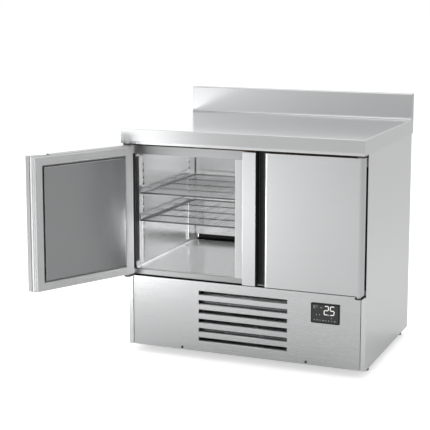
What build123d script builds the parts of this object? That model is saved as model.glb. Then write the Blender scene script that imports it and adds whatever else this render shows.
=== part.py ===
from build123d import *
import os
from math import cos, sin, radians

# Two-door undercounter refrigerator with worktop and rear upstand.
# Millimetres.  X right, Y towards the wall, Z up.  The model is drawn about the
# cabinet's centre line and then moved so that the origin is the centre of the
# footprint of the whole object, with the left door standing open, on the floor.

# ---------------------------------------------------------------- dimensions
WIDTH = 915.0              # cabinet and worktop
DEPTH = 700.0              # worktop, front edge to wall
WORKTOP_Z = 850.0          # worktop height
UPSTAND_H = 100.0          # rear upstand above the worktop
UPSTAND_T = 35.0
APRON_H = 55.0             # folded edge of the worktop
SHEET = 1.2                # outer sheet
BODY_FRONT = -292.0        # front plane of the cabinet frame
BODY_BACK = 330.0
BODY_BOTTOM = 28.0         # underside of the cabinet = height of the feet
FOOT_D = 34.0
FOOT_X, FOOT_Y = 425.0, (-185.0, 297.0)
FOOT_TRAVEL = 12.0

OPEN_X = 428.7             # half width of the door opening
OPEN_Z0, OPEN_Z1 = 319.0, 751.0
MULLION_X = 32.0
MULLION_D = 20.0
PANEL_TOP = 292.5          # top of the louvred lower panel
PANEL_X = 438.0
SHELF_Z = (497.5, 601.5)   # centres of the shelf frame wires
SHELF_Y0, SHELF_Y1 = -266.0, 212.0

DOOR_X0, DOOR_X1 = 16.0, 457.5
DOOR_Z0, DOOR_Z1 = 309.0, 787.0
DOOR_FRONT = -347.0
DOOR_R = 16.0              # rounded hinge-side edge, centred on the hinge pin
SKIN_DEPTH = 23.0
GRIP_X0, GRIP_X1 = 66.0, 97.0
GRIP_BACK = -314.0
GRIP_R = 12.0              # rounded edge of the skin beside the finger channel
PAN_X0, PAN_X1 = 55.0, 403.0   # inner pan, raised above the gasket
PAN_FACE = -289.5
PIN_X, PIN_Y = DOOR_X1 - DOOR_R, DOOR_FRONT + DOOR_R
LEFT_DOOR_OPEN = 116.0     # degrees, the pose the left door is stored in
PIN_R, BUSH_BORE_R = 4.0, 4.05

SLOT_X0, SLOT_X1 = -174.0, 168.5
SLOT_TOP = [258.0 - 35.0 * i for i in range(6)]
SLOT_H = 17.0
CTRL = (258.0, 363.0, 186.0, 258.5)      # x0, x1, z0, z1

HW = WIDTH / 2
HD = DEPTH / 2


# ---------------------------------------------------------------- helpers
def block(x0, x1, y0, y1, z0, z1):
    return Pos((x0 + x1) / 2, (y0 + y1) / 2, (z0 + z1) / 2) * Box(
        abs(x1 - x0), abs(y1 - y0), abs(z1 - z0))


def rod_x(x0, x1, y, z, r):
    return Pos((x0 + x1) / 2, y, z) * Rot(0, 90, 0) * Cylinder(r, abs(x1 - x0))


def rod_y(x, y0, y1, z, r):
    return Pos(x, (y0 + y1) / 2, z) * Rot(90, 0, 0) * Cylinder(r, abs(y1 - y0))


def rod_z(x, y, z0, z1, r):
    return Pos(x, y, (z0 + z1) / 2) * Cylinder(r, abs(z1 - z0))


def prism_x(pts, x0, x1):
    return extrude(Plane.YZ.offset(x0) * make_face(Polyline(*pts, close=True)), amount=x1 - x0)


def prism_z(pts, z0, z1):
    return extrude(Plane.XY.offset(z0) * make_face(Polyline(*pts, close=True)), amount=z1 - z0)


def near(shape, axis, **at):
    """Edges along an axis whose middle is at the given coordinates."""
    out = []
    for e in shape.edges().filter_by(axis):
        c = e.center()
        if all(any(abs(getattr(c, k.upper()) - v) < 0.02 for v in (vs if isinstance(vs, tuple) else (vs,)))
               for k, vs in at.items()):
            out.append(e)
    return out


def group(*shapes):
    solids = []
    for s in shapes:
        if isinstance(s, (list, tuple)):
            for t in s:
                solids += list(t.solids())
        else:
            solids += list(s.solids())
    return Compound(solids)


def mirror_x(shape):
    return mirror(shape, about=Plane.YZ)


def side(shape_right):
    """A right-hand piece and its left-hand mirror image."""
    return [shape_right, mirror_x(shape_right)]


nodes = {}

# ---------------------------------------------------------------- worktop
top = block(-HW, HW, -HD, HD, WORKTOP_Z - APRON_H, WORKTOP_Z)
top -= prism_x([(-HD - 1, 794), (-HD + 2.2, 794), (-HD + 2.2, 795), (-HD, 805), (-HD - 1, 805)], -HW - 1, HW + 1)
top = fillet(near(top, Axis.Z, x=(-HW, HW), y=(-HD,)), 3.0)
top = fillet(top.edges().filter_by_position(Axis.Z, 849.99, 850.01)
             .filter_by(lambda e: e.center().Y < HD - 1), 1.6)
top -= block(-HW + SHEET, HW - SHEET, -HD + 3.4, HD - SHEET, 796.2, WORKTOP_Z - SHEET)
top -= block(-HW + 18, HW - 18, -HD + 22, HD - 18, 790, 800)
top -= block(-HW - 1, HW + 1, 307.0, HD + 1, WORKTOP_Z - SHEET, 852)
top -= block(-HW - 1, HW + 1, -HD - 1, -HD + 0.5, 805.0, 806.0)
nodes["worktop"] = top

nodes["worktop_core"] = block(-HW + SHEET, HW - SHEET, -HD + 3.4, HD - SHEET, 796.2, WORKTOP_Z - SHEET)

UZ = WORKTOP_Z - SHEET
up = block(-HW, HW, HD - UPSTAND_T, HD, UZ, WORKTOP_Z + UPSTAND_H)
up = fillet(near(up, Axis.X, z=950.0, y=(HD - UPSTAND_T,)), 4.0)
up = fillet(up.edges().filter_by_position(Axis.Z, 945, 951).filter_by(
    lambda e: abs(e.center().X) > HW - 0.01), 1.5)
up += block(-HW, HW, 307.0, HD - UPSTAND_T, UZ, 858.0) - rod_x(-HW - 1, HW + 1, 307.0, 858.0, 8.0)
up -= block(-HW + SHEET, HW - SHEET, HD - UPSTAND_T + SHEET, HD - SHEET, UZ - 1, 948.8)
nodes["upstand"] = up

# ---------------------------------------------------------------- outer shell
sp = block(HW - SHEET, HW, BODY_FRONT, BODY_BACK, BODY_BOTTOM, 795)
sp += block(440, HW, BODY_FRONT, BODY_FRONT + SHEET, BODY_BOTTOM, PANEL_TOP)
sp += block(437.5, HW, BODY_BACK - SHEET, BODY_BACK, BODY_BOTTOM, 795)
sp += block(432, HW, -283, BODY_BACK, BODY_BOTTOM, BODY_BOTTOM + SHEET)
sp += block(440, HW, BODY_FRONT + 4, BODY_BACK, 795 - SHEET, 795)
sp = fillet(near(sp, Axis.Z, x=HW, y=(BODY_FRONT, BODY_BACK)), 1.0)
nodes["side_panel_right"] = sp
nodes["side_panel_left"] = mirror_x(sp)

nodes["back_panel"] = block(-437.2, 437.2, BODY_BACK - SHEET, BODY_BACK, 262, 793.5)

rear = block(-437.2, 437.2, BODY_BACK - SHEET, BODY_BACK, 29.5, 261.5)
for ix in range(5):
    for iz in range(9):
        cx, cz = -240 + 120 * ix, 80 + 18 * iz
        rear -= block(cx - 45, cx + 45, 320, 340, cz - 2.5, cz + 2.5)
rear -= rod_y(-380, 320, 340, 90, 10.2)
nodes["rear_service_panel"] = rear

pan = block(-456.1, 456.1, -283, 328.5, 29.2, 50) - block(-454.9, 454.9, -281.8, 327.3, 30.7, 60)
for sx in (-1, 1):
    pan -= rod_y(sx * 240, -290, -270, 37.5, 2.8)
    for fy in FOOT_Y:
        pan += rod_z(sx * FOOT_X, fy, 30.0, 40.0, 12.0)
for sx in (-1, 1):
    for fy in FOOT_Y:
        pan -= rod_z(sx * FOOT_X, fy, 20, 45, 5.05)
nodes["base_pan"] = pan

# ---------------------------------------------------------------- liner and foam
DRAIN = (300.0, 256.0)
LINES = (110.0, 284.0)
lo = block(-428.8, 428.8, -286, 297.8, 319.2, 750.8)
lo = fillet(near(lo, Axis.X, y=297.8) + near(lo, Axis.Z, y=297.8) +
            near(lo, Axis.Y, x=(-428.8, 428.8)), 10.8)
li = block(-428, 428, -300, 297, 320, 750)
li = fillet(near(li, Axis.X, y=297) + near(li, Axis.Z, y=297) +
            near(li, Axis.Y, x=(-428, 428)), 10.0)
liner = lo - li
liner -= block(-MULLION_X, MULLION_X, -290, BODY_FRONT + MULLION_D, 310, 760)
liner -= rod_z(*DRAIN, 310, 330, 8.1)
liner -= rod_z(*LINES, 310, 330, 12.0)
nodes["liner"] = liner

floor_foam = block(-456.2, 456.2, -258, 328.6, 262, 319.1)
floor_foam -= rod_z(*DRAIN, 250, 330, 8.1)
floor_foam -= rod_z(*LINES, 250, 330, 12.0)
nodes["cabinet_insulation"] = group(
    block(428.9, 456.2, -286, 298, 319.2, 750.9),
    block(-456.2, -428.9, -286, 298, 319.2, 750.9),
    block(-456.2, 456.2, 298, 328.6, 319.2, 752.6),
    floor_foam,
    block(-456.2, 456.2, -235, 328.6, 752.7, 793.6))

# ---------------------------------------------------------------- front frame
r = block(-456.2, 456.2, BODY_FRONT, -238, 751, 783) - block(-457, 457, BODY_FRONT + 1.5, -230, 752.5, 781.5)
for sx in (-1, 1):
    for sy in (-280, -252):
        r -= rod_z(sx * 433.5, sy, 780, 785, 2.7)
nodes["front_top_rail"] = fillet(near(r, Axis.X, y=BODY_FRONT, z=(751.0, 783.0)), 0.8)

r = block(-456.2, 456.2, BODY_FRONT, -262, 299.6, 319) - block(-457, 457, BODY_FRONT + 1.5, -255, 301.1, 317.5)
for sx in (-1, 1):
    for px in (434, 449):
        r -= rod_z(sx * px, -269, 295, 303, 2.7)
nodes["front_bottom_rail"] = fillet(near(r, Axis.X, y=BODY_FRONT, z=(299.6, 319.0)), 0.8)

m = block(-MULLION_X, MULLION_X, BODY_FRONT, BODY_FRONT + MULLION_D, 319, 751)
m = fillet(near(m, Axis.Z, y=BODY_FRONT), 1.5)
m -= block(-MULLION_X + 1.5, MULLION_X - 1.5, BODY_FRONT + 1.5, BODY_FRONT + MULLION_D - 1.5, 310, 760)
nodes["mullion"] = m

jt = block(OPEN_X, 456.2, BODY_FRONT, BODY_FRONT + 2.5, 319.2, 750.8)
jt += block(OPEN_X, OPEN_X + 3, BODY_FRONT, -286, 319.2, 750.8)
strip = block(426.4, 428, -285, -263, 345, 738)
nodes["jamb_trims"] = group(side(jt), side(strip))

# ---------------------------------------------------------------- louvred lower panel
PX, PZ0 = PANEL_X, 28.5
fp = block(-PX, PX, BODY_FRONT, -284, PZ0, PANEL_TOP)
fp = fillet(near(fp, Axis.Z, y=BODY_FRONT), 1.6)
fp = fillet(fp.edges().filter_by_position(Axis.Y, BODY_FRONT - 0.01, BODY_FRONT + 0.01), 0.9)
fp -= block(-PX + SHEET, PX - SHEET, BODY_FRONT + SHEET, -280, PZ0 + SHEET, PANEL_TOP - SHEET)
for zt in SLOT_TOP:
    fp -= block(SLOT_X0, SLOT_X1, BODY_FRONT - 1, BODY_FRONT + 3, zt - SLOT_H, zt)
for zt in SLOT_TOP:
    zb = zt - SLOT_H
    blade = prism_x([(BODY_FRONT, zb), (BODY_FRONT + 1.5, zb - 0.6), (BODY_FRONT + 9.2, zb + 6.0),
                     (BODY_FRONT + 8.2, zb + 7.0), (BODY_FRONT + 0.2, zb + 0.5)],
                    SLOT_X0 + 0.5, SLOT_X1 - 0.5)
    fp += blade
fp -= block(CTRL[0] + 3.5, CTRL[1] - 3.5, -300, -280, CTRL[2] + 3.5, CTRL[3] - 3.5)
for sx in (-1, 1):
    fp -= rod_y(sx * 240, -300, -280, 37.5, 2.7)
nodes["front_panel"] = fp


def screw(x, y, z, direction):
    """Black pan-head M5 x 14, drawn with the head standing on z = 0 and the shank below."""
    head = Pos(0, 0, 1.1) * Cylinder(4.5, 2.2)
    head = fillet(head.edges().filter_by_position(Axis.Z, 2.19, 2.21), 1.2)
    s = head + Pos(0, 0, -7) * Cylinder(2.5, 14.0)
    s -= Pos(0, 0, 2.0) * Box(5.0, 0.9, 1.6)
    s -= Pos(0, 0, 2.0) * Box(0.9, 5.0, 1.6)
    rot = {"front": Rot(90, 0, 0), "top": Rot(0, 0, 0), "bottom": Rot(180, 0, 0)}[direction]
    return Pos(x, y, z) * rot * s


screws = [screw(sx * 240, BODY_FRONT, 37.5, "front") for sx in (-1, 1)]
for sx in (-1, 1):
    screws += [screw(sx * 433.5, sy, 792.6, "top") for sy in (-280, -252)]
    screws += [screw(sx * px, -269, 296.6, "bottom") for px in (434, 449)]
nodes["screws"] = group(screws)

# ---------------------------------------------------------------- controller
x0, x1, z0, z1 = CTRL
cb = block(x0, x1, BODY_FRONT - 4, BODY_FRONT, z0, z1)
cb = fillet(near(cb, Axis.Y, x=(x0, x1)), 3.0)
cb = fillet(cb.edges().filter_by_position(Axis.Y, BODY_FRONT - 4.01, BODY_FRONT - 3.99), 1.0)
cb += block(x0 + 4, x1 - 4, BODY_FRONT, -236, z0 + 4, z1 - 4)
cb -= block(x0 + 4.5, x1 - 4.5, -297, BODY_FRONT - 2.6, z0 + 4.5, z1 - 4.5)
nodes["controller_housing"] = cb
nodes["controller_lens"] = fillet(
    near(block(x0 + 4.6, x1 - 4.6, BODY_FRONT - 3.8, BODY_FRONT - 2.6, z0 + 4.6, z1 - 4.6),
         Axis.Y, x=(x0 + 4.6, x1 - 4.6)), 1.0)

# ---------------------------------------------------------------- shelf supports
P_Z0, P_Z1 = 335.0, 738.0


def pilaster():
    """Slotted channel, 17 wide and 6 deep, standing on the plane y = 0 and facing -Y."""
    p = block(-8.5, 8.5, -6, 0, P_Z0, P_Z1)
    p = fillet(near(p, Axis.Z, y=-6), 1.2)
    p -= block(-7.5, 7.5, -5, 1, P_Z0 - 1, P_Z1 + 1)
    z = P_Z0 + 20
    while z < P_Z1 - 15:
        p -= block(-4.8, 4.8, -10, 1, z - 4.0, z + 4.0)
        z += 25.0
    return p


p0 = pilaster()
wall_r = [Pos(428, y, 0) * Rot(0, 0, -90) * p0 for y in (-233.5, 193.5)]
wall_l = [Pos(-428, y, 0) * Rot(0, 0, 90) * p0 for y in (-233.5, 193.5)]
centre_f = Pos(0, BODY_FRONT + MULLION_D, 0) * Rot(0, 0, 180) * p0
centre_r = Pos(0, 225, 0) * p0
nodes["pilasters"] = group(wall_r, wall_l, centre_f, centre_r)

runners = []
for zc in SHELF_Z:
    zb = zc - 3.0
    rr = block(402, 422, -262, 208, zb - 1.5, zb) + block(420.5, 422, -262, 208, zb - 1.5, zb + 24)
    rr = fillet(near(rr, Axis.Y, x=402.0, z=(zb,)), 0.6)
    runners += side(rr)
    tb = block(-22, 22, -265.9, 218.9, zb - 1.5, zb) + block(-0.9, 0.9, -265.9, 218.9, zb - 18, zb)
    runners.append(tb)
nodes["shelf_runners"] = group(runners)


def wire_shelf(zc):
    """Right-hand wire shelf."""
    xa, xb = 13.0, 416.0
    s = rod_x(xa, xb, SHELF_Y0, zc, 3.0) + rod_x(xa, xb, SHELF_Y1, zc, 3.0)
    s += rod_y(xa, SHELF_Y0, SHELF_Y1, zc, 3.0) + rod_y(xb, SHELF_Y0, SHELF_Y1, zc, 3.0)
    for x in (xa, xb):
        for y in (SHELF_Y0, SHELF_Y1):
            s += Pos(x, y, zc) * Sphere(3.0)
    for k in (1, 2, 3):
        y = SHELF_Y0 + (SHELF_Y1 - SHELF_Y0) * k / 4
        s += rod_x(xa, xb, y, zc, 2.4)
    n = 28
    for k in range(1, n):
        x = xa + (xb - xa) * k / n
        s += rod_y(x, SHELF_Y0 - 2.0, SHELF_Y1 + 2.0, zc + 3.4, 1.4)
    return s


for nm, zc in (("lower", SHELF_Z[0]), ("upper", SHELF_Z[1])):
    s = wire_shelf(zc)
    nodes["shelf_right_" + nm] = s
    nodes["shelf_left_" + nm] = mirror_x(s)

# ---------------------------------------------------------------- evaporator
FAN_X, FAN_Z = -88.0, 640.0
ec = block(-424, 424, 270, 271.2, 345, 745)
ec -= block(-163.8, 163.8, 260, 280, 340, 743.8)
ec += (block(-165, 165, 225, 270, 345, 745) - block(-163.8, 163.8, 226.2, 280, 340, 743.8))
grille = None
for k in range(-6, 7):
    zc = FAN_Z + 9 * k
    b = block(FAN_X - 60, FAN_X + 60, 220, 230, zc - 2.75, zc + 2.75)
    grille = b if grille is None else grille + b
ec -= grille & rod_y(FAN_X, 220, 230, FAN_Z, 56.0)
for sx in (-1, 1):
    for k in range(13):
        ec -= block(sx * 414, sx * 390, 265, 275, 382 + 8 * k, 386 + 8 * k)
nodes["evaporator_cover"] = ec


def fin_coil(x0, x1, y0, y1, z0, z1, pitch, rows, cols, tube_r):
    """Plate-fin coil with tubes along X and return bends at the ends."""
    c = block(x0, x0 + 1.5, y0, y1, z0, z1) + block(x1 - 1.5, x1, y0, y1, z0, z1)
    n = int((x1 - x0) / pitch)
    for k in range(1, n):
        x = x0 + (x1 - x0) * k / n
        c += block(x - 0.4, x + 0.4, y0, y1, z0, z1)
    dz = (z1 - z0) / rows
    dy = (y1 - y0) / cols
    for i in range(rows):
        for j in range(cols):
            c += rod_x(x0 - 3, x1 + 3, y0 + dy * (j + 0.5), z0 + dz * (i + 0.5), tube_r)
    t = tube_r * 1.15
    for j in range(cols):
        y = y0 + dy * (j + 0.5)
        for i in range(rows - 1):
            za = z0 + dz * (i + 0.5)
            xe = (x1 + 2 + t) if i % 2 == 0 else (x0 - 2 - t)
            c += block(xe - t, xe + t, y - t, y + t, za - t, za + dz + t)
    return c


nodes["evaporator_coil"] = fin_coil(-148, 148, 232, 266, 400, 560, 14.0, 5, 2, 4.0)

em = rod_y(FAN_X, 248, 270, FAN_Z, 20.0)
em = fillet(em.edges().filter_by_position(Axis.Y, 247.9, 248.1), 2.0)
em += rod_y(FAN_X, 270, 297, FAN_Z, 8.0) + rod_y(FAN_X, 234, 248, FAN_Z, 2.5)
nodes["evaporator_fan_motor"] = em


def fan_rotor(r_tip, r_hub, h, n, bore, chord, pitch_deg, thick):
    """Axial rotor about Z, centred on the origin."""
    f = Cylinder(r_hub, h)
    blades = None
    for k in range(n):
        b = Rot(0, 0, 360.0 / n * k) * Pos((r_tip + r_hub * 0.6) / 2, 0, 0) * Rot(pitch_deg, 0, 0) * Box(
            r_tip - r_hub * 0.6 + 6, chord, thick)
        blades = b if blades is None else blades + b
    f += blades & Cylinder(r_tip, h * 3)
    f -= Cylinder(bore, h * 2)
    return f


nodes["evaporator_fan_rotor"] = Pos(FAN_X, 239, FAN_Z) * Rot(90, 0, 0) * fan_rotor(50, 13, 9, 5, 2.55, 26, 24, 1.6)

dp = rod_z(*DRAIN, 66, 319.2, 8.0) - rod_z(*DRAIN, 60, 330, 6.5)
dp += (rod_z(*DRAIN, 320.0, 321.4, 14.0) + rod_z(*DRAIN, 319.2, 320.0, 8.0)) - rod_z(*DRAIN, 300, 330, 6.5)
nodes["drain_pipe"] = dp

# ---------------------------------------------------------------- refrigeration plant
CX, CY = -270.0, 150.0
cp = Pos(CX, CY, 132) * Cylinder(76, 156)
cp = fillet(cp.edges().filter_by(GeomType.CIRCLE), 34)
cp += Pos(CX, CY, 128) * Cylinder(78.5, 5)
cp += block(CX - 105, CX + 105, CY - 62, CY + 62, 50.8, 54.8)
cp += block(CX + 60, CX + 98, CY - 28, CY + 28, 84, 142)
for sx in (-90, 90):
    for sy in (-48, 48):
        cp -= rod_z(CX + sx, CY + sy, 45, 60, 5.5)
nodes["compressor"] = cp

mounts = []
for sx in (-90, 90):
    for sy in (-48, 48):
        mnt = rod_z(CX + sx, CY + sy, 30.7, 50.8, 12.0) + rod_z(CX + sx, CY + sy, 50.8, 57.5, 5.4)
        mnt += rod_z(CX + sx, CY + sy, 54.9, 59.0, 9.0)
        mounts.append(mnt)
nodes["compressor_mounts"] = group(mounts)

nodes["condenser_coil"] = fin_coil(-160, 156, -270, -232, 62, 250, 12.0, 7, 2, 4.2)

FX, FZ = -2.0, 154.0
sh = block(-166, 162, -228, -226.5, 58, 254) - rod_y(FX, -240, -220, FZ, 88.0)
sh += rod_y(FX, -228, -204, FZ, 89.5) - rod_y(FX, -240, -200, FZ, 88.0)
sh += block(-166, 162, -228, -214, 31, 32.5) + block(-166, 162, -228, -226.5, 31, 58)
nodes["condenser_fan_shroud"] = sh

cm = rod_y(FX, -192, -140, FZ, 36.0)
cm = fillet(cm.edges().filter_by(GeomType.CIRCLE), 5)
cm += rod_y(FX, -222, -192, FZ, 4.0)
cm += block(FX - 20, FX + 20, -168, -164, 32.5, FZ) + block(FX - 30, FX + 30, -190, -142, 30.7, 33.7)
nodes["condenser_fan_motor"] = cm
nodes["condenser_fan_rotor"] = Pos(FX, -212, FZ) * Rot(90, 0, 0) * fan_rotor(84, 20, 16, 5, 4.05, 44, 26, 2.0)

fd = rod_x(-100, -10, 40, 120, 11.0)
fd = fillet(fd.edges().filter_by(GeomType.CIRCLE), 5)
fd += rod_x(-112, 2, 40, 120, 4.5)
nodes["filter_drier"] = fd


def pipe(pts, radii, r):
    path = FilletPolyline(*pts, radius=radii)
    start = path @ 0
    return sweep(Plane(origin=start, z_dir=path % 0) * Circle(r), path=path)


discharge = pipe([(CX, CY - 76.4, 170), (CX, 20, 170), (-200, -60, 170), (-200, -251, 170), (-172, -251, 170)],
                 [20, 20, 12], 3.2)
liquid = pipe([(-112.1, 40, 120), (-185, 40, 120), (-185, -200, 90), (-185, -251, 90), (-172, -251, 90)],
              [18, 18, 8], 3.2)
suction = pipe([(CX + 30, CY + 70, 190), (CX + 30, 284, 190), (LINES[0] - 5, 284, 190), (LINES[0] - 5, 284, 340),
                (LINES[0] - 5, 250, 384), (LINES[0] - 5, 250, 399.8)],
               [20, 20, 16, 10], 4.8)
capillary = pipe([(2.1, 40, 120), (LINES[0] + 6, 40, 120), (LINES[0] + 6, 284, 150), (LINES[0] + 6, 284, 345),
                  (LINES[0] + 6, 252, 384), (LINES[0] + 6, 252, 399.8)],
                 [20, 16, 16, 10], 1.6)
nodes["refrigerant_pipes"] = group(discharge, liquid, suction, capillary)

tr = block(200, 400, 140, 310, 30.7, 60)
tr = fillet(near(tr, Axis.Z, x=(200, 400)), 8)
tr -= fillet(near(block(201.5, 398.5, 141.5, 308.5, 32.2, 70), Axis.Z, x=(201.5, 398.5)), 6.5)
nodes["condensate_tray"] = tr

eb = block(236, 396, -120, 40, 30.7, 140)
eb = fillet(near(eb, Axis.Z, x=(236, 396)), 5)
eb = fillet(eb.edges().filter_by_position(Axis.Z, 139.9, 140.1), 3)
eb -= block(230, 400, -125, 45, 108, 109.5) - block(237.5, 394.5, -118.5, 38.5, 100, 115)
nodes["electrical_box"] = eb

mi = Pos(-380, BODY_BACK + 3.5, 90) * Rot(90, 0, 0) * extrude(RegularPolygon(14, 6), amount=3.5, both=True)
mi += rod_y(-380, 318, 337, 90, 10.0)
dome = rod_y(-380, 337, 346, 90, 11.0)
dome = fillet(dome.edges().filter_by_position(Axis.Y, 345.9, 346.1), 4)
mi += dome
mi += Pos(-380, 323.5, 90) * Rot(90, 0, 0) * extrude(RegularPolygon(14, 6), amount=2.5, both=True)
mi -= rod_y(-380, 343, 350, 90, 4.5)
nodes["mains_inlet"] = mi

# ---------------------------------------------------------------- feet
for nm, sx, fy in (("front_left", -1, FOOT_Y[0]), ("front_right", 1, FOOT_Y[0]),
                   ("rear_left", -1, FOOT_Y[1]), ("rear_right", 1, FOOT_Y[1])):
    f = rod_z(sx * FOOT_X, fy, 0, 27.9, FOOT_D / 2)
    f = fillet(f.edges().filter_by(GeomType.CIRCLE), 2.0)
    f -= (rod_z(sx * FOOT_X, fy, 16, 19, 30) - rod_z(sx * FOOT_X, fy, 10, 25, 14.5))
    f += rod_z(sx * FOOT_X, fy, 27.9, 56, 5.0)
    nodes["foot_" + nm] = f

# ---------------------------------------------------------------- hinges
bottom = block(427.5, 455.5, PIN_Y, -262, 296.6, 299.6) + Pos(PIN_X, PIN_Y, 298.1) * Cylinder(14, 3)
bottom -= rod_z(PIN_X, PIN_Y, 290, 305, PIN_R + 0.02)
for px in (434, 449):
    bottom -= rod_z(px, -269, 290, 305, 2.7)
upper = block(427.5, 455.5, PIN_Y, -240, 789.6, 792.6) + Pos(PIN_X, PIN_Y, 791.1) * Cylinder(14, 3)
upper += block(427.5, 455.5, -291.5, -240, 783, 789.6)
upper -= rod_z(PIN_X, PIN_Y, 780, 800, PIN_R + 0.02)
for sy in (-280, -252):
    upper -= rod_z(433.5, sy, 780, 800, 2.7)
nodes["hinge_brackets"] = group(side(bottom), side(upper))

pin_lo = rod_z(PIN_X, PIN_Y, 295.8, 325.0, PIN_R) + rod_z(PIN_X, PIN_Y, 299.7, 305.6, 8.0)
pin_hi = rod_z(PIN_X, PIN_Y, 771.0, 793.6, PIN_R)
nodes["hinge_pins"] = group(side(pin_lo), side(pin_hi))


# ---------------------------------------------------------------- doors
def plan(x0, x1, y0, y1, z0, z1, r_hinge, r_free):
    """Block whose hinge-side front edge and free front edge are rounded."""
    b = block(x0, x1, y0, y1, z0, z1)
    b = fillet(near(b, Axis.Z, x=x1, y=y0), r_hinge)
    if r_free:
        b = fillet(near(b, Axis.Z, x=x0, y=y0), r_free)
    return b


def make_door():
    d = {}
    sy1 = DOOR_FRONT + SKIN_DEPTH
    panels = []
    for x0, x1, r0, r1 in ((DOOR_X0, GRIP_X0, 2.0, 0.0), (GRIP_X1, DOOR_X1, GRIP_R, DOOR_R)):
        t = block(x0, x1, DOOR_FRONT, sy1, DOOR_Z0, DOOR_Z1)
        t = fillet(near(t, Axis.Z, x=x0, y=DOOR_FRONT), r0)
        if r1:
            t = fillet(near(t, Axis.Z, x=x1, y=DOOR_FRONT), r1)
        for z in (DOOR_Z1, DOOR_Z0):
            t = fillet(t.edges().filter_by_position(Axis.Z, z - 0.01, z + 0.01).filter_by(
                lambda e: e.center().Y < sy1 - 0.5 and (r1 or e.center().X < x1 - 0.01)), 1.2)
        xi = x1 - 1 if r1 else x1 + 1
        h = block(x0 + 1, xi, DOOR_FRONT + 1, sy1 - 1.0, DOOR_Z0 + 1, DOOR_Z1 - 1)
        h = fillet(near(h, Axis.Z, x=x0 + 1, y=DOOR_FRONT + 1), max(r0 - 1, 1.2))
        if r1:
            h = fillet(near(h, Axis.Z, x=xi, y=DOOR_FRONT + 1), r1 - 1)
        t -= h
        t -= block(x0 + 1 if r1 else x0 + 7, x1 - 7 if r1 else x1 + 1, sy1 - 2, sy1 + 1, DOOR_Z0 + 7, DOOR_Z1 - 7)
        panels.append(t)
    skin = panels[0] + panels[1]
    skin -= rod_z(PIN_X, PIN_Y, DOOR_Z0 - 5, DOOR_Z0 + 20, 8.05)
    skin -= rod_z(PIN_X, PIN_Y, DOOR_Z1 - 20, DOOR_Z1 + 5, 8.05)
    d["skin"] = group(skin)

    c1 = block(DOOR_X0 + 1.1, GRIP_X0 - 0.1, DOOR_FRONT + 1.1, sy1 - 1.1, DOOR_Z0 + 1.1, DOOR_Z1 - 1.1)
    c1 = fillet(near(c1, Axis.Z, x=DOOR_X0 + 1.1, y=DOOR_FRONT + 1.1), 1.5)
    c2 = plan(GRIP_X1 + 1.1, DOOR_X1 - 1.1, DOOR_FRONT + 1.1, sy1 - 1.1, DOOR_Z0 + 1.1, DOOR_Z1 - 1.1,
              DOOR_R - 1.1, GRIP_R - 1.1)
    c2 -= rod_z(PIN_X, PIN_Y, DOOR_Z0 - 5, DOOR_Z0 + 19.5, 8.05)
    c2 -= rod_z(PIN_X, PIN_Y, DOOR_Z1 - 19.5, DOOR_Z1 + 5, 8.05)
    c3 = block(PAN_X0 + 0.3, GRIP_X0 - 0.1, sy1 - 1.1, -312.1, 348.3, 747.7)
    c4 = block(GRIP_X1 + 1.1, PAN_X1 - 0.3, sy1 - 1.1, -312.1, 348.3, 747.7)
    c5 = block(PAN_X0 + 1.3, PAN_X1 - 1.3, -312.0, PAN_FACE - 1.1, 349.3, 746.7)
    d["core"] = group(c1, c2, c3, c4, c5)

    g = block(GRIP_X0, GRIP_X1, DOOR_FRONT + 0.3, GRIP_BACK, DOOR_Z0 + 0.3, DOOR_Z1 - 0.3)
    g = fillet(near(g, Axis.Z, y=GRIP_BACK), 4.0)
    gi = block(GRIP_X0 + 1.8, GRIP_X1 - 1.8, DOOR_FRONT - 5, GRIP_BACK - 1.8, DOOR_Z0 - 5, DOOR_Z1 + 5)
    g -= fillet(near(gi, Axis.Z, y=GRIP_BACK - 1.8), 3.0)
    g -= block(GRIP_X1 - 3, GRIP_X1 + 1, DOOR_FRONT - 5, DOOR_FRONT + GRIP_R - 1, DOOR_Z0 - 5, DOOR_Z1 + 5)
    d["grip_channel"] = g

    f0, f1 = -321.5, -310.5
    fr = block(DOOR_X0 + 1, 454.5, f0, f1, DOOR_Z0 + 1, DOOR_Z1 - 1)
    fr = fillet(near(fr, Axis.Z, x=(DOOR_X0 + 1, 454.5)), 1.5)
    fr += block(DOOR_X0 + 5, 449, f1, -306, DOOR_Z0 + 5, DOOR_Z1 - 5)
    fr -= block(PAN_X0, PAN_X1, -330, -300, 348, 748)
    fr -= block(GRIP_X0 - 0.3, GRIP_X1 + 0.3, -330, GRIP_BACK + 0.2, 300, 348.5)
    fr -= block(GRIP_X0 - 0.3, GRIP_X1 + 0.3, -330, GRIP_BACK + 0.2, 747.5, 800)
    d["inner_frame"] = fr

    ip = block(PAN_X0 + 0.2, PAN_X1 - 0.2, -312, PAN_FACE, 348.2, 747.8)
    ip = fillet(ip.edges().filter_by_position(Axis.Y, PAN_FACE - 0.01, PAN_FACE + 0.01), 2.5)
    ip -= block(PAN_X0 + 1.2, PAN_X1 - 1.2, -313, PAN_FACE - 1, 349.2, 746.8)
    d["inner_panel"] = ip

    gk = block(DOOR_X0 + 4, 437.5, -306, -292.3, DOOR_Z0 + 4, DOOR_Z1 - 4)
    gk = fillet(near(gk, Axis.Y, x=(DOOR_X0 + 4, 437.5)), 4.0)
    gk -= block(DOOR_X0 + 34, 407.5, -310, -290, DOOR_Z0 + 34, DOOR_Z1 - 34)
    gk = fillet(gk.edges().filter_by_position(Axis.Y, -292.31, -292.29), 2.5)
    go = block(DOOR_X0 - 5, 460, -302.5, -300.5, DOOR_Z0 - 5, DOOR_Z1 + 5)
    go -= block(DOOR_X0 + 6, 435.5, -310, -290, DOOR_Z0 + 6, DOOR_Z1 - 6)
    gk -= go
    d["gasket"] = gk

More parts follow.
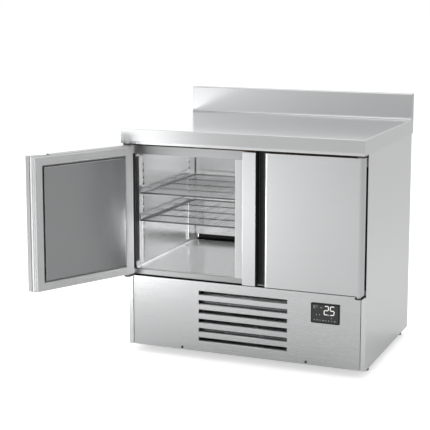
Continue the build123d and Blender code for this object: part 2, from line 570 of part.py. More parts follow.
    b1 = rod_z(PIN_X, PIN_Y, DOOR_Z0, DOOR_Z0 + 19.3, 8.0) + rod_z(PIN_X, PIN_Y, DOOR_Z0 - 3, DOOR_Z0, 11.0)
    b1 -= rod_z(PIN_X, PIN_Y, 290, 326.5, BUSH_BORE_R)
    b2 = rod_z(PIN_X, PIN_Y, DOOR_Z1 - 19.3, DOOR_Z1, 8.0) + rod_z(PIN_X, PIN_Y, DOOR_Z1, DOOR_Z1 + 2.0, 11.0)
    b2 -= rod_z(PIN_X, PIN_Y, 769.5, 800, BUSH_BORE_R)
    d["bushes"] = group(b1, b2)
    return d


swing = Pos(-PIN_X, PIN_Y, 0) * Rot(0, 0, -LEFT_DOOR_OPEN) * Pos(PIN_X, -PIN_Y, 0)
for k, shp in make_door().items():
    nodes["right_door_" + k] = shp
    nodes["left_door_" + k] = swing * mirror_x(shp)

# ---------------------------------------------------------------- origin and export
boxes = [s.bounding_box() for s in nodes.values()]
X0 = min(b.min.X for b in boxes)
X1 = max(b.max.X for b in boxes)
Y0 = min(b.min.Y for b in boxes)
Y1 = max(b.max.Y for b in boxes)
Z0 = min(b.min.Z for b in boxes)
ORIGIN = (round((X0 + X1) / 2, 3), round((Y0 + Y1) / 2, 3), 0.0)

os.makedirs("parts", exist_ok=True)
for name, shape in nodes.items():
    export_step(Pos(-ORIGIN[0], -ORIGIN[1], -ORIGIN[2]) * shape, "parts/" + name + ".step")
print(len(nodes), "nodes; origin", ORIGIN, "extent", X0, X1, Y0, Y1, Z0)
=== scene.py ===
import math

import bmesh
import bpy
from mathutils import Matrix, Vector


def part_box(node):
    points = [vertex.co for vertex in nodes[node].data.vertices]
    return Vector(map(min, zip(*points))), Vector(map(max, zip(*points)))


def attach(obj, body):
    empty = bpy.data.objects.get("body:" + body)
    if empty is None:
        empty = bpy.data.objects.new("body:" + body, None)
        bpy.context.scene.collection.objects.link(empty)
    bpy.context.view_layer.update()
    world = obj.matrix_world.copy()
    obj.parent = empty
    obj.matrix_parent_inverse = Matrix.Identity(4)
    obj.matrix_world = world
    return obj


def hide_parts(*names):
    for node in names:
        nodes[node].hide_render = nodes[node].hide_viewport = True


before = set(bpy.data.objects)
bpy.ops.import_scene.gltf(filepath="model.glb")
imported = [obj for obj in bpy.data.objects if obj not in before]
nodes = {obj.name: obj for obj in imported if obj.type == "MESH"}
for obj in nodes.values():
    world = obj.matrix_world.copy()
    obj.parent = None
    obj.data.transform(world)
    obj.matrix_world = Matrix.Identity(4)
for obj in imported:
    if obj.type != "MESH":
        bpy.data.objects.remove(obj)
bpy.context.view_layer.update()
scene = bpy.context.scene

# ------------------------------------------------------------------ places
# Cabinet coordinates: millimetres from the cabinet's centre line, measured from
# the frame itself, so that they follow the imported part.
w_lo, w_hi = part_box("worktop")
CX = (w_lo.x + w_hi.x) / 2
CY = (w_lo.y + w_hi.y) / 2
PIN = (0.4415, -0.331)
OPEN = math.radians(116.0)


def cab(x, y, z):
    """Cabinet millimetres to the row frame."""
    return Vector((CX + x / 1000, CY + y / 1000, z / 1000))


def door(x, y, z, left):
    """A point of the closed right door, in cabinet millimetres, on either door."""
    if not left:
        return cab(x, y, z)
    dx, dy = -x / 1000 + PIN[0], y / 1000 - PIN[1]
    c, s = math.cos(-OPEN), math.sin(-OPEN)
    return Vector((CX - PIN[0] + c * dx - s * dy, CY + PIN[1] + s * dx + c * dy, z / 1000))


# ------------------------------------------------------------------ materials
def start(name):
    mat = bpy.data.materials.new(name)
    mat.use_nodes = True
    nt = mat.node_tree
    nt.nodes.clear()
    out = nt.nodes.new("ShaderNodeOutputMaterial")
    bsdf = nt.nodes.new("ShaderNodeBsdfPrincipled")
    nt.links.new(bsdf.outputs["BSDF"], out.inputs["Surface"])
    tc = nt.nodes.new("ShaderNodeTexCoord")
    return mat, nt, bsdf, tc


def mapped(nt, tc, size, turn=0.0):
    """Object coordinates turned about Z and divided by the feature's size."""
    m = nt.nodes.new("ShaderNodeMapping")
    m.vector_type = "TEXTURE"
    m.inputs["Rotation"].default_value = (0, 0, turn)
    m.inputs["Scale"].default_value = size
    nt.links.new(tc.outputs["Object"], m.inputs["Vector"])
    return m.outputs["Vector"]


def noise(nt, vec, scale=1.0, detail=2.0, rough=0.5, lac=2.0):
    n = nt.nodes.new("ShaderNodeTexNoise")
    n.inputs["Scale"].default_value = scale
    n.inputs["Detail"].default_value = detail
    n.inputs["Roughness"].default_value = rough
    n.inputs["Lacunarity"].default_value = lac
    nt.links.new(vec, n.inputs["Vector"])
    return n.outputs["Fac"]


def math2(nt, op, a, b):
    n = nt.nodes.new("ShaderNodeMath")
    n.operation = op
    for i, v in enumerate((a, b)):
        if isinstance(v, (int, float)):
            n.inputs[i].default_value = v
        else:
            nt.links.new(v, n.inputs[i])
    return n.outputs[0]


def rng(nt, fac, lo, hi, a=0.3, b=0.7):
    n = nt.nodes.new("ShaderNodeMapRange")
    n.inputs["From Min"].default_value = a
    n.inputs["From Max"].default_value = b
    n.inputs["To Min"].default_value = lo
    n.inputs["To Max"].default_value = hi
    nt.links.new(fac, n.inputs["Value"])
    return n.outputs["Result"]


def ramp(nt, fac, stops):
    n = nt.nodes.new("ShaderNodeValToRGB")
    els = n.color_ramp.elements
    while len(els) < len(stops):
        els.new(0.5)
    for e, (p, c) in zip(els, stops):
        e.position = p
        e.color = (*c, 1.0)
    nt.links.new(fac, n.inputs["Fac"])
    return n.outputs["Color"]


def bump(nt, bsdf, height, strength, dist, extra=None):
    n = nt.nodes.new("ShaderNodeBump")
    n.inputs["Strength"].default_value = strength
    n.inputs["Distance"].default_value = dist
    nt.links.new(height, n.inputs["Height"])
    if extra is not None:
        m = nt.nodes.new("ShaderNodeBump")
        m.inputs["Strength"].default_value = extra[1]
        m.inputs["Distance"].default_value = extra[2]
        nt.links.new(extra[0], m.inputs["Height"])
        nt.links.new(n.outputs["Normal"], m.inputs["Normal"])
        n = m
    nt.links.new(n.outputs["Normal"], bsdf.inputs["Normal"])


def tint(c, k):
    return tuple(min(1.0, v * k) for v in c)


def brushed(name, color, rough, grain, turn=0.0, aniso=0.55, fine=0.0009, spread=0.016, vary=0.012,
            cloud=0.35, wave=0.00012, bumpy=0.015, metal=1.0):
    """Brushed stainless: long fine scratches along one axis, faint clouding and sheet waviness."""
    mat, nt, bsdf, tc = start(name)
    bsdf.inputs["Metallic"].default_value = metal
    bsdf.inputs["Anisotropic"].default_value = aniso
    long = {"x": (0.12, fine, fine), "y": (fine, 0.12, fine), "z": (fine, fine, 0.12)}[grain]
    mid = {"x": (0.6, 0.0028, 0.0028), "y": (0.0028, 0.6, 0.0028), "z": (0.0028, 0.0028, 0.6)}[grain]
    f = noise(nt, mapped(nt, tc, long, turn), 1.0, 2.0, 0.6)
    m = noise(nt, mapped(nt, tc, mid, turn), 1.0, 2.0, 0.5)
    c = noise(nt, mapped(nt, tc, (cloud, cloud, cloud), turn), 1.0, 3.0, 0.55)
    mix = math2(nt, "ADD", math2(nt, "MULTIPLY", f, 0.45), math2(nt, "MULTIPLY", m, 0.55))
    both = math2(nt, "ADD", math2(nt, "MULTIPLY", mix, 0.6), math2(nt, "MULTIPLY", c, 0.4))
    nt.links.new(ramp(nt, both, [(0.36, tint(color, 1 - vary)), (0.5, color), (0.64, tint(color, 1 + vary))]),
                 bsdf.inputs["Base Color"])
    nt.links.new(rng(nt, both, rough - spread, rough + spread, 0.36, 0.64), bsdf.inputs["Roughness"])
    w = noise(nt, mapped(nt, tc, (0.28, 0.28, 0.28), turn), 1.0, 1.0, 0.4)
    bump(nt, bsdf, w, 0.35, wave, (f, bumpy, 0.00012))
    d = {"x": (math.cos(turn), math.sin(turn), 0.0), "y": (-math.sin(turn), math.cos(turn), 0.0),
         "z": (0.0, 0.0, 1.0)}[grain]
    t = nt.nodes.new("ShaderNodeCombineXYZ")
    for i, v in enumerate(d):
        t.inputs[i].default_value = v
    vt = nt.nodes.new("ShaderNodeVectorTransform")
    vt.vector_type = "VECTOR"
    vt.convert_from = "OBJECT"
    vt.convert_to = "WORLD"
    nt.links.new(t.outputs[0], vt.inputs[0])
    nt.links.new(vt.outputs[0], bsdf.inputs["Tangent"])
    return mat


def paint_shade_boxes(mat, boxes, color):
    """Paint boxes of the sheet (cabinet mm) in another colour: painted shade, used in recesses and gaps where shade
    falls.
    """
    nt = mat.node_tree
    bsdf = next(n for n in nt.nodes if n.type == "BSDF_PRINCIPLED")
    tc = nt.nodes.new("ShaderNodeTexCoord")
    total = None
    for x0, x1, y0, y1, z0, z1 in boxes:
        a, b = cab(x0, y0, z0), cab(x1, y1, z1)
        sub = nt.nodes.new("ShaderNodeVectorMath")
        sub.operation = "SUBTRACT"
        nt.links.new(tc.outputs["Object"], sub.inputs[0])
        sub.inputs[1].default_value = (a + b) / 2
        ab = nt.nodes.new("ShaderNodeVectorMath")
        ab.operation = "ABSOLUTE"
        nt.links.new(sub.outputs[0], ab.inputs[0])
        dv = nt.nodes.new("ShaderNodeVectorMath")
        dv.operation = "DIVIDE"
        nt.links.new(ab.outputs[0], dv.inputs[0])
        dv.inputs[1].default_value = (b - a) / 2
        sp = nt.nodes.new("ShaderNodeSeparateXYZ")
        nt.links.new(dv.outputs[0], sp.inputs[0])
        m = math2(nt, "MAXIMUM", math2(nt, "MAXIMUM", sp.outputs[0], sp.outputs[1]), sp.outputs[2])
        hit = math2(nt, "LESS_THAN", m, 1.0)
        total = hit if total is None else math2(nt, "MAXIMUM", total, hit)
    link = bsdf.inputs["Base Color"].links[0]
    old = link.from_socket
    mix = nt.nodes.new("ShaderNodeMix")
    mix.data_type = "RGBA"
    nt.links.new(total, mix.inputs["Factor"])
    nt.links.new(old, mix.inputs[6])
    mix.inputs[7].default_value = (*color, 1.0)
    nt.links.new(mix.outputs[2], bsdf.inputs["Base Color"])


def moulded(name, color, rough, grit=0.0012, depth=0.00008, strength=0.25, vary=0.06, spread=0.05, metal=0.0,
            coat=0.0, spec=0.5, cloud=0.06):
    """Moulded plastic, paint, rubber or cast metal with a fine skin texture."""
    mat, nt, bsdf, tc = start(name)
    bsdf.inputs["Metallic"].default_value = metal
    bsdf.inputs["Specular IOR Level"].default_value = spec
    bsdf.inputs["Coat Weight"].default_value = coat
    g = noise(nt, mapped(nt, tc, (grit, grit, grit)), 1.0, 2.0, 0.6)
    c = noise(nt, mapped(nt, tc, (cloud, cloud, cloud)), 1.0, 3.0, 0.6)
    both = math2(nt, "ADD", math2(nt, "MULTIPLY", g, 0.4), math2(nt, "MULTIPLY", c, 0.6))
    nt.links.new(ramp(nt, both, [(0.34, tint(color, 1 - vary)), (0.5, color), (0.66, tint(color, 1 + vary))]),
                 bsdf.inputs["Base Color"])
    nt.links.new(rng(nt, both, rough - spread, rough + spread, 0.34, 0.66), bsdf.inputs["Roughness"])
    bump(nt, bsdf, g, strength, depth)
    return mat


def galvanised(name):
    mat, nt, bsdf, tc = start(name)
    bsdf.inputs["Metallic"].default_value = 1.0
    v = nt.nodes.new("ShaderNodeTexVoronoi")
    v.inputs["Scale"].default_value = 90.0
    nt.links.new(tc.outputs["Object"], v.inputs["Vector"])
    bw = nt.nodes.new("ShaderNodeRGBToBW")
    nt.links.new(v.outputs["Color"], bw.inputs[0])
    c = noise(nt, mapped(nt, tc, (0.05, 0.05, 0.05)), 1.0, 3.0)
    both = math2(nt, "ADD", math2(nt, "MULTIPLY", bw.outputs[0], 0.6), math2(nt, "MULTIPLY", c, 0.4))
    nt.links.new(ramp(nt, both, [(0.25, (0.44, 0.45, 0.46)), (0.75, (0.60, 0.61, 0.62))]), bsdf.inputs["Base Color"])
    nt.links.new(rng(nt, both, 0.34, 0.48, 0.2, 0.8), bsdf.inputs["Roughness"])
    bump(nt, bsdf, c, 0.2, 0.0002)
    return mat


def foam_mat(name):
    mat, nt, bsdf, tc = start(name)
    v = nt.nodes.new("ShaderNodeTexVoronoi")
    v.inputs["Scale"].default_value = 900.0
    nt.links.new(tc.outputs["Object"], v.inputs["Vector"])
    n = noise(nt, mapped(nt, tc, (0.03, 0.03, 0.03)), 1.0, 4.0)
    nt.links.new(ramp(nt, n, [(0.3, (0.72, 0.62, 0.38)), (0.7, (0.84, 0.76, 0.52))]), bsdf.inputs["Base Color"])
    bsdf.inputs["Roughness"].default_value = 0.85
    bump(nt, bsdf, v.outputs["Distance"], 0.5, 0.0006)
    return mat


def board_mat(name):
    mat, nt, bsdf, tc = start(name)
    n = noise(nt, mapped(nt, tc, (0.2, 0.012, 0.012)), 1.0, 5.0, 0.65)
    nt.links.new(ramp(nt, n, [(0.3, (0.30, 0.20, 0.12)), (0.7, (0.52, 0.38, 0.24))]), bsdf.inputs["Base Color"])
    bsdf.inputs["Roughness"].default_value = 0.7
    bump(nt, bsdf, n, 0.3, 0.0004)
    return mat


ROW = (0.555, 0.56, 0.565)
LT = -OPEN       # the left door's width direction, as it stands open at rest
M = {
    "top": brushed("steel_top", (0.655, 0.66, 0.665), 0.15, "x", aniso=0.5),
    "x": brushed("steel_front", (0.56, 0.565, 0.57), 0.30, "x"),
    "panel": brushed("steel_panel", (0.60, 0.605, 0.61), 0.27, "x", vary=0.008, spread=0.01),
    "upright": brushed("steel_mullion", (0.64, 0.645, 0.65), 0.30, "z"),
    "z": brushed("steel_upright", ROW, 0.30, "z"),
    # painted light: the side panels get a lighter copy of the steel than the front, for the light falling on the sides
    "y": brushed("steel_side_lit_copy", (0.73, 0.735, 0.74), 0.22, "y"),
    "door_r": brushed("steel_door_right", (0.59, 0.595, 0.60), 0.31, "x"),
    "door_l": brushed("steel_door_left", (0.59, 0.595, 0.60), 0.31, "x", turn=LT),
    "liner": brushed("liner_sheet_with_painted_shade", (0.80, 0.803, 0.806), 0.20, "x", aniso=0.2, spread=0.04, metal=0.8),
    "inner_r": brushed("inner_panel_right", (0.32, 0.323, 0.327), 0.22, "z", vary=0.02, spread=0.03, cloud=0.16),
    "inner_l": brushed("inner_panel_left", (0.32, 0.323, 0.327), 0.22, "z", turn=LT, vary=0.02, spread=0.03, cloud=0.16),
    "galv": galvanised("galvanised_sheet"),
    "foam": foam_mat("foam_core_with_painted_shade"),
    "board": board_mat("board_core"),
    "black": moulded("black_plastic", (0.008, 0.008, 0.009), 0.42, spec=0.25),
    "channel": moulded("black_channel", (0.010, 0.010, 0.011), 0.30, spec=0.5),
    "lens": moulded("display_window", (0.016, 0.016, 0.018), 0.16, grit=0.0006, depth=0.00001, strength=0.08, coat=0.4),
    "black_steel": moulded("black_oxide", (0.02, 0.02, 0.021), 0.38, metal=0.6),
    "pin": brushed("pin_steel", (0.5, 0.5, 0.5), 0.25, "z"),
    "frame": moulded("frame_plastic", (0.62, 0.625, 0.63), 0.45, vary=0.03),
    # painted shade: the front rails get a darker copy of the steel, standing in for the shade under the worktop's
    # overhang; the bottom rail shares it
    "rail": brushed("steel_rail_painted_shade", (0.32, 0.323, 0.326), 0.34, "x"),
    "runner": brushed("runner_sheet", (0.86, 0.863, 0.866), 0.22, "y", aniso=0.2),
    "gasket": moulded("gasket_rubber", (0.52, 0.523, 0.527), 0.55, grit=0.0008, vary=0.04),
    "white": moulded("white_plastic", (0.75, 0.75, 0.74), 0.45, vary=0.03),
    "foot": moulded("foot_plastic", (0.018, 0.018, 0.018), 0.5),
    "wire": brushed("shelf_wire", (0.13, 0.132, 0.135), 0.28, "y", aniso=0.0),
    "alu": brushed("fin_aluminium", (0.70, 0.71, 0.72), 0.35, "z", aniso=0.3),
    "comp": moulded("compressor_paint", (0.012, 0.012, 0.012), 0.28, depth=0.0002, coat=0.5),
    "rubber": moulded("mount_rubber", (0.03, 0.03, 0.03), 0.7),
    "copper": moulded("bare_copper", (0.72, 0.36, 0.22), 0.28, metal=1.0, vary=0.15, cloud=0.03),
}

# painted shade: the liner behind each wall pilaster's channel and the drip space under the cover are painted near black
# for the shade there
paint_shade_boxes(M["liner"], [(sx * 426.5, sx * 430.0, y - 7.6, y + 7.6, 335.0, 738.0) if sx > 0 else
                     (-430.0, -426.5, y - 7.6, y + 7.6, 335.0, 738.0)
                     for sx in (-1, 1) for y in (-233.5, 193.5)] +
        [(-424.0, 424.0, 272.0, 300.0, 316.0, 345.0)], (0.02, 0.02, 0.02))

# painted shade: a band of the insulation's front, seen through the gap between the front panel and the bottom rail, is
# painted near black for the shade in that gap
paint_shade_boxes(M["foam"], [(-460.0, 460.0, -263.0, -255.0, 255.0, 330.0)], (0.015, 0.015, 0.015))
# painted shade: the inside of each pilaster channel, on the walls and at the centre, is painted near black for the
# shade there
M["pilaster"] = brushed("pilaster_sheet_with_painted_shade", (0.86, 0.863, 0.866), 0.24, "z", aniso=0.2)
paint_shade_boxes(M["pilaster"], [(sx * 422.05 if sx > 0 else -429.0, 429.0 if sx > 0 else -422.05, y - 7.55, y + 7.55,
                         330.0, 742.0) for sx in (-1, 1) for y in (-233.5, 193.5)] +
        [(-7.55, 7.55, -272.5, -266.05, 330.0, 742.0), (-7.55, 7.55, 219.05, 225.5, 330.0, 742.0)],
        (0.012, 0.012, 0.012))

LOOK = {
    "worktop": "top", "upstand": "x", "side_panel_left": "y", "side_panel_right": "y", "back_panel": "galv",
    "rear_service_panel": "galv", "base_pan": "galv", "liner": "liner", "cabinet_insulation": "foam",
    "worktop_core": "board", "front_top_rail": "rail", "front_bottom_rail": "rail", "mullion": "upright",
    "jamb_trims": "black", "front_panel": "panel", "screws": "black_steel", "controller_housing": "black",
    "controller_lens": "lens", "pilasters": "pilaster", "shelf_runners": "runner",
    "shelf_left_lower": "wire", "shelf_left_upper": "wire", "shelf_right_lower": "wire",
    "shelf_right_upper": "wire", "evaporator_cover": "liner", "evaporator_coil": "alu",
    "evaporator_fan_motor": "black", "evaporator_fan_rotor": "black", "drain_pipe": "white",
    "compressor": "comp", "compressor_mounts": "rubber", "condenser_coil": "alu",
    "condenser_fan_shroud": "galv", "condenser_fan_motor": "black", "condenser_fan_rotor": "black",
    "filter_drier": "copper", "refrigerant_pipes": "copper", "condensate_tray": "galv",
    "electrical_box": "black", "mains_inlet": "black", "hinge_brackets": "black_steel", "hinge_pins": "pin",
    "left_door_skin": "door_l", "left_door_core": "foam", "left_door_grip_channel": "channel",
    "left_door_inner_frame": "frame", "left_door_inner_panel": "inner_l", "left_door_gasket": "gasket",
    "left_door_bushes": "white", "right_door_skin": "door_r", "right_door_core": "foam",
    "right_door_grip_channel": "channel", "right_door_inner_frame": "frame", "right_door_inner_panel": "inner_r",
    "right_door_gasket": "gasket", "right_door_bushes": "white",
    "foot_front_left": "foot", "foot_front_right": "foot", "foot_rear_left": "foot", "foot_rear_right": "foot",
}
for n, o in nodes.items():
    o.data.materials.clear()
    o.data.materials.append(M[LOOK[n]])


# ------------------------------------------------------------------ mesh helpers
def mesh_object(name, bm, mat, smooth=True, angle=35):
    me = bpy.data.meshes.new(name)
    bmesh.ops.recalc_face_normals(bm, faces=bm.faces)
    bm.to_mesh(me)
    bm.free()
    o = bpy.data.objects.new(name, me)
    scene.collection.objects.link(o)
    me.materials.append(mat)
    if smooth:
        for p in me.polygons:
            p.use_smooth = True
        me.set_sharp_from_angle(angle=math.radians(angle))
    return o


def poly_prism(bm, pts, place, depth0, depth1, edge=0.0):
    """A flat prism from outline pts (u, v) in mm; place(u, v, d) gives the point. edge chamfers the front."""
    cx = sum(p[0] for p in pts) / len(pts)
    cy = sum(p[1] for p in pts) / len(pts)

    def ring(inset, d):
        out = []
        for u, v in pts:
            k = max(0.0, 1 - inset / max(1e-6, math.hypot(u - cx, v - cy)))
            out.append(bm.verts.new(place(cx + (u - cx) * k, cy + (v - cy) * k, d)))
        return out

    rings = [ring(0, depth0), ring(0, depth1 - (depth1 - depth0) * 0.35 if edge else depth1)]
    if edge:
        rings.append(ring(edge, depth1))
    for a, b in zip(rings, rings[1:]):
        for i in range(len(pts)):
            j = (i + 1) % len(pts)
            bm.faces.new((a[i], a[j], b[j], b[i]))
    bm.faces.new(rings[-1])
    bm.faces.new(list(reversed(rings[0])))


def frame_sweep(bm, profile, corners, place):
    """Closed profile (u inward, d depth) swept round a rectangle with mitred corners.
    corners is (x0, x1, z0, z1); place(x, z, d) gives the point."""
    x0, x1, z0, z1 = corners
    rings = []
    for sx, sz in ((0, 0), (1, 0), (1, 1), (0, 1)):
        ring = []
        for u, d in profile:
            x = x0 + u if sx == 0 else x1 - u
            z = z0 + u if sz == 0 else z1 - u
            ring.append(bm.verts.new(place(x, z, d)))
        rings.append(ring)
    n = len(profile)
    for k in range(4):
        a, b = rings[k], rings[(k + 1) % 4]
        for i in range(n):
            j = (i + 1) % n
            bm.faces.new((a[i], a[j], b[j], b[i]))


# ------------------------------------------------------------------ door gaskets
# Magnetic gasket: a flat nose that holds the magnet, a hinge web on each side and
# a bellows on the outer side, on a base that is pressed into the frame.
GASKET = [(4.0, 0.0), (26.0, 0.0), (26.6, 1.2), (25.0, 2.2), (26.2, 3.4), (28.6, 4.6), (29.6, 6.4), (29.9, 8.6),
          (29.7, 11.2), (28.9, 12.7), (27.4, 13.5), (24.0, 13.6), (22.6, 13.1), (21.4, 13.6), (8.0, 13.6),
          (6.8, 13.1), (5.4, 13.6), (2.8, 13.5), (1.2, 12.8), (0.3, 11.4), (0.1, 9.6), (0.5, 8.2), (2.2, 7.2),
          (4.2, 6.3), (4.4, 5.4), (2.6, 4.4), (1.0, 3.4), (0.7, 2.2), (1.8, 1.0)]
for left in (True, False):
    side = "left" if left else "right"
    bm = bmesh.new()
    frame_sweep(bm, GASKET, (20.0, 437.5, 313.0, 783.0),
                lambda x, z, d, left=left: door(x, -306.0 + d, z, left))
    g = mesh_object(side + "_door_seal", bm, M["gasket"], angle=50)
    bev = g.modifiers.new("bevel", "BEVEL")
    bev.width = 0.0004
    bev.segments = 2
    bev.limit_method = "ANGLE"
    bev.angle_limit = math.radians(40)
    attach(g, side + "_door")
    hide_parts(side + "_door_gasket")

# ------------------------------------------------------------------ display
GLOW, nt, bsdf, tc = start("display_segments")
f = noise(nt, mapped(nt, tc, (0.004, 0.004, 0.004)), 1.0, 2.0)
nt.links.new(ramp(nt, f, [(0.3, (0.80, 0.79, 0.74)), (0.7, (0.90, 0.89, 0.85))]), bsdf.inputs["Base Color"])
bsdf.inputs["Roughness"].default_value = 0.35
bsdf.inputs["Emission Color"].default_value = (0.95, 0.93, 0.86, 1.0)
bsdf.inputs["Emission Strength"].default_value = 0.25
PRINT, nt, bsdf, tc = start("display_print")
f = noise(nt, mapped(nt, tc, (0.003, 0.003, 0.003)), 1.0, 2.0)
nt.links.new(ramp(nt, f, [(0.3, (0.42, 0.42, 0.42)), (0.7, (0.52, 0.52, 0.52))]), bsdf.inputs["Base Color"])
bsdf.inputs["Roughness"].default_value = 0.5

l_lo, l_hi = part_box("controller_lens")
LENS_Y = l_lo.y


def on_lens(u, v, d):
    """Cabinet x and z in mm, and d mm out of the lens."""
    return Vector((CX + u / 1000, LENS_Y - d / 1000, v / 1000))


def segment(x0, z0, x1, z1, t):
    """Outline of one bar with pointed ends; lean() slants the outline as the digits do."""
    dx, dz = x1 - x0, z1 - z0
    ln = math.hypot(dx, dz)
    ux, uz = dx / ln, dz / ln
    px, pz = -uz, ux
    h = t / 2
    pts = [(x0, z0), (x0 + ux * h + px * h, z0 + uz * h + pz * h), (x1 - ux * h + px * h, z1 - uz * h + pz * h),
           (x1, z1), (x1 - ux * h - px * h, z1 - uz * h - pz * h), (x0 + ux * h - px * h, z0 + uz * h - pz * h)]
    return pts


def lean(pts, z0):
    return [(u + (v - z0) * 0.07, v) for u, v in pts]


bm = bmesh.new()
DIGIT_H, DIGIT_W, T = 30.5, 14.5, 3.3
Z0 = 219.0
SEGS = {2: "abged", 5: "afgcd"}


def seven(bm, x0, value):
    w, h, z0 = DIGIT_W, DIGIT_H, Z0
    m = z0 + h / 2
    g = 0.25
    lines = {
        "a": (x0 + g, z0 + h, x0 + w - g, z0 + h), "d": (x0 + g, z0, x0 + w - g, z0),
        "g": (x0 + g, m, x0 + w - g, m), "f": (x0, m + g, x0, z0 + h - g), "e": (x0, z0 + g, x0, m - g),
        "b": (x0 + w, m + g, x0 + w, z0 + h - g), "c": (x0 + w, z0 + g, x0 + w, m - g)}
    for s in SEGS[value]:
        poly_prism(bm, lean(segment(*lines[s], T), z0), on_lens, -0.2, 0.18, 0.25)


seven(bm, 306.5, 2)
seven(bm, 328.0, 5)
poly_prism(bm, [(323.6 + 1.5 * math.cos(a), 218.2 + 1.5 * math.sin(a))
                for a in [2 * math.pi * i / 14 for i in range(14)]], on_lens, -0.2, 0.18, 0.25)
digits = mesh_object("display_digits", bm, GLOW, smooth=False)
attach(digits, "cabinet")


def disc(bm, x, z, r, n=14):
    poly_prism(bm, [(x + r * math.cos(2 * math.pi * i / n), z + r * math.sin(2 * math.pi * i / n))
                    for i in range(n)], on_lens, -0.2, 0.14, 0.15)


def bar(bm, x, z, w, h):
    poly_prism(bm, [(x - w / 2, z - h / 2), (x + w / 2, z - h / 2), (x + w / 2, z + h / 2), (x - w / 2, z + h / 2)],
               on_lens, -0.2, 0.14, 0.12)


def tri(bm, x, z, r, up):
    s = 1 if up else -1
    poly_prism(bm, [(x - r, z - s * r * 0.6), (x + r, z - s * r * 0.6), (x, z + s * r)], on_lens, -0.2, 0.14, 0.12)


bm = bmesh.new()
for dz in (0, 5.2, 10.4):                       # a thermometer-like scale, upper left
    bar(bm, 272.5, 239.5 + dz, 5.0, 1.1)
bar(bm, 268.9, 244.7, 1.1, 11.0)
disc(bm, 280.6, 249.4, 1.3)
disc(bm, 280.6, 243.8, 1.3)
bar(bm, 296.0, 243.0, 8.0, 1.5)
disc(bm, 279.0, 217.0, 1.7)
disc(bm, 290.5, 217.0, 1.7)
disc(bm, 333.5, 207.5, 1.7)
for i in range(8):                              # row of touch symbols along the foot
    x = 271.0 + i * 10.6
    if i % 4 == 0:
        tri(bm, x, 197.6, 2.0, True)
    elif i % 4 == 1:
        bar(bm, x, 197.2, 5.2, 1.2)
        bar(bm, x, 199.4, 3.0, 0.9)
    elif i % 4 == 2:
        tri(bm, x, 197.8, 2.0, False)
    else:
        disc(bm, x, 197.4, 1.7)
        bar(bm, x + 3.4, 197.4, 1.0, 3.0)
icons = mesh_object("display_symbols", bm, PRINT, smooth=False)
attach(icons, "cabinet")

# ------------------------------------------------------------------ stage
bm = bmesh.new()
bmesh.ops.create_grid(bm, x_segments=1, y_segments=1, size=40.0)
me = bpy.data.meshes.new("floor")
bm.to_mesh(me)
bm.free()
floor = bpy.data.objects.new("floor", me)
scene.collection.objects.link(floor)
fm = bpy.data.materials.new("floor_paint")
fm.use_nodes = True
nt = fm.node_tree
nt.nodes.clear()
out = nt.nodes.new("ShaderNodeOutputMaterial")
dif = nt.nodes.new("ShaderNodeBsdfDiffuse")
dif.inputs["Color"].default_value = (0.74, 0.74, 0.74, 1)
emi = nt.nodes.new("ShaderNodeEmission")
emi.inputs["Color"].default_value = (1, 1, 1, 1)
lp = nt.nodes.new("ShaderNodeLightPath")
mul = nt.nodes.new("ShaderNodeMath")
mul.operation = "MULTIPLY"
mul.inputs[1].default_value = 0.55
nt.links.new(lp.outputs["Is Camera Ray"], mul.inputs[0])
nt.links.new(mul.outputs[0], emi.inputs["Strength"])
add = nt.nodes.new("ShaderNodeAddShader")
nt.links.new(dif.outputs[0], add.inputs[0])
nt.links.new(emi.outputs[0], add.inputs[1])
nt.links.new(add.outputs[0], out.inputs["Surface"])
me.materials.append(fm)

# studio surround: bright behind, softer at the front
world = bpy.data.worlds.new("studio")
scene.world = world
world.use_nodes = True
nt = world.node_tree
nt.nodes.clear()
out = nt.nodes.new("ShaderNodeOutputWorld")
tc = nt.nodes.new("ShaderNodeTexCoord")
sep = nt.nodes.new("ShaderNodeSeparateXYZ")
nt.links.new(tc.outputs["Generated"], sep.inputs[0])
back = nt.nodes.new("ShaderNodeMapRange")
back.interpolation_type = "SMOOTHSTEP"
back.inputs["From Min"].default_value = -0.7
back.inputs["From Max"].default_value = 0.9
back.inputs["To Min"].default_value = 0.66
back.inputs["To Max"].default_value = 1.03
nt.links.new(sep.outputs["Y"], back.inputs["Value"])
leftw = nt.nodes.new("ShaderNodeMapRange")
leftw.interpolation_type = "SMOOTHSTEP"
leftw.inputs["From Min"].default_value = -0.32
leftw.inputs["From Max"].default_value = -0.52
leftw.inputs["To Min"].default_value = 1.0
leftw.inputs["To Max"].default_value = 1.5
nt.links.new(sep.outputs["X"], leftw.inputs["Value"])
m0 = nt.nodes.new("ShaderNodeMath")
m0.operation = "MULTIPLY"
nt.links.new(back.outputs[0], m0.inputs[0])
nt.links.new(leftw.outputs[0], m0.inputs[1])
# a dark flag far to the right, that only the doors' rounded edges mirror
flag = []
for axis, a, b in (("X", 0.70, 0.80), ("Y", -0.02, -0.14)):
    r = nt.nodes.new("ShaderNodeMapRange")
    r.interpolation_type = "SMOOTHSTEP"
    r.inputs["From Min"].default_value = a
    r.inputs["From Max"].default_value = b
    nt.links.new(sep.outputs[axis], r.inputs["Value"])
    flag.append(r.outputs[0])
fl = math2(nt, "SUBTRACT", 1.0, math2(nt, "MULTIPLY", math2(nt, "MULTIPLY", flag[0], flag[1]), 0.85))
m1 = nt.nodes.new("ShaderNodeMath")
m1.operation = "MULTIPLY"
nt.links.new(m0.outputs[0], m1.inputs[0])
nt.links.new(fl, m1.inputs[1])
bg = nt.nodes.new("ShaderNodeBackground")
bg.inputs["Color"].default_value = (1, 1, 1, 1)
nt.links.new(m1.outputs[0], bg.inputs["Strength"])
bgc = nt.nodes.new("ShaderNodeBackground")
bgc.inputs["Color"].default_value = (1, 1, 1, 1)
bgc.inputs["Strength"].default_value = 1.0
lp = nt.nodes.new("ShaderNodeLightPath")
mx = nt.nodes.new("ShaderNodeMixShader")
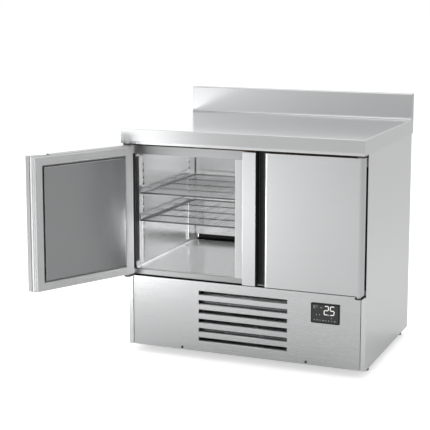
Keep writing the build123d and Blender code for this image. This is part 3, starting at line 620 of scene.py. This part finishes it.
nt.links.new(lp.outputs["Is Camera Ray"], mx.inputs[0])
nt.links.new(bg.outputs[0], mx.inputs[1])
nt.links.new(bgc.outputs[0], mx.inputs[2])
nt.links.new(mx.outputs[0], out.inputs["Surface"])


def softbox(name, pos, aim, sx, sy, power, spread=math.pi):
    d = bpy.data.lights.new(name, "AREA")
    d.shape = "RECTANGLE"
    d.size, d.size_y = sx, sy
    d.energy = power
    d.spread = spread
    o = bpy.data.objects.new(name, d)
    scene.collection.objects.link(o)
    o.location = pos
    o.rotation_mode = "QUATERNION"
    o.rotation_quaternion = (Vector(aim) - Vector(pos)).to_track_quat("-Z", "Y")
    o.visible_camera = False
    return o


softbox("key", (-2.1, -2.7, 0.70), (-0.1, 0.0, 0.4), 1.5, 1.3, 6.5)
softbox("low", (-1.27, -1.5, 0.2), (-0.35, -0.12, 0.12), 0.55, 0.5, 9)
softbox("top", (0.2, 0.1, 3.2), (0.1, 0.1, 0.0), 2.6, 2.6, 22)
softbox("front_fill", (0.4, -3.4, 2.3), (-0.1, 0.0, 0.5), 2.2, 1.0, 12)
li_lo, li_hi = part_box("liner")
softbox("inside", ((li_lo.x + li_hi.x) / 2, (li_lo.y + li_hi.y) / 2 - 0.04, li_hi.z - 0.012),
        ((li_lo.x + li_hi.x) / 2, (li_lo.y + li_hi.y) / 2 - 0.04, 0.3), 0.80, 0.42, 3.0)

softbox("inside_low", cab(396, -20, 420), cab(-428, -20, 400), 0.42, 0.14, 4.0)

scene.view_settings.view_transform = "Standard"
scene.view_settings.look = "None"

# ------------------------------------------------------------------ camera
cam_data = bpy.data.cameras.new("camera")
cam = bpy.data.objects.new("camera", cam_data)
scene.collection.objects.link(cam)
cam_data.sensor_width = 36.0
cam_data.lens = 102.157
cam_data.shift_y = -0.1
cam_data.clip_start, cam_data.clip_end = 0.05, 100.0
cam.location = cab(1537.0, -4287.5, 1373.9)
cam.rotation_euler = (math.radians(90 - 8.849), 0.0, 0.3908)
scene.camera = cam

# ------------------------------------------------------------------ update
bpy.context.view_layer.update()
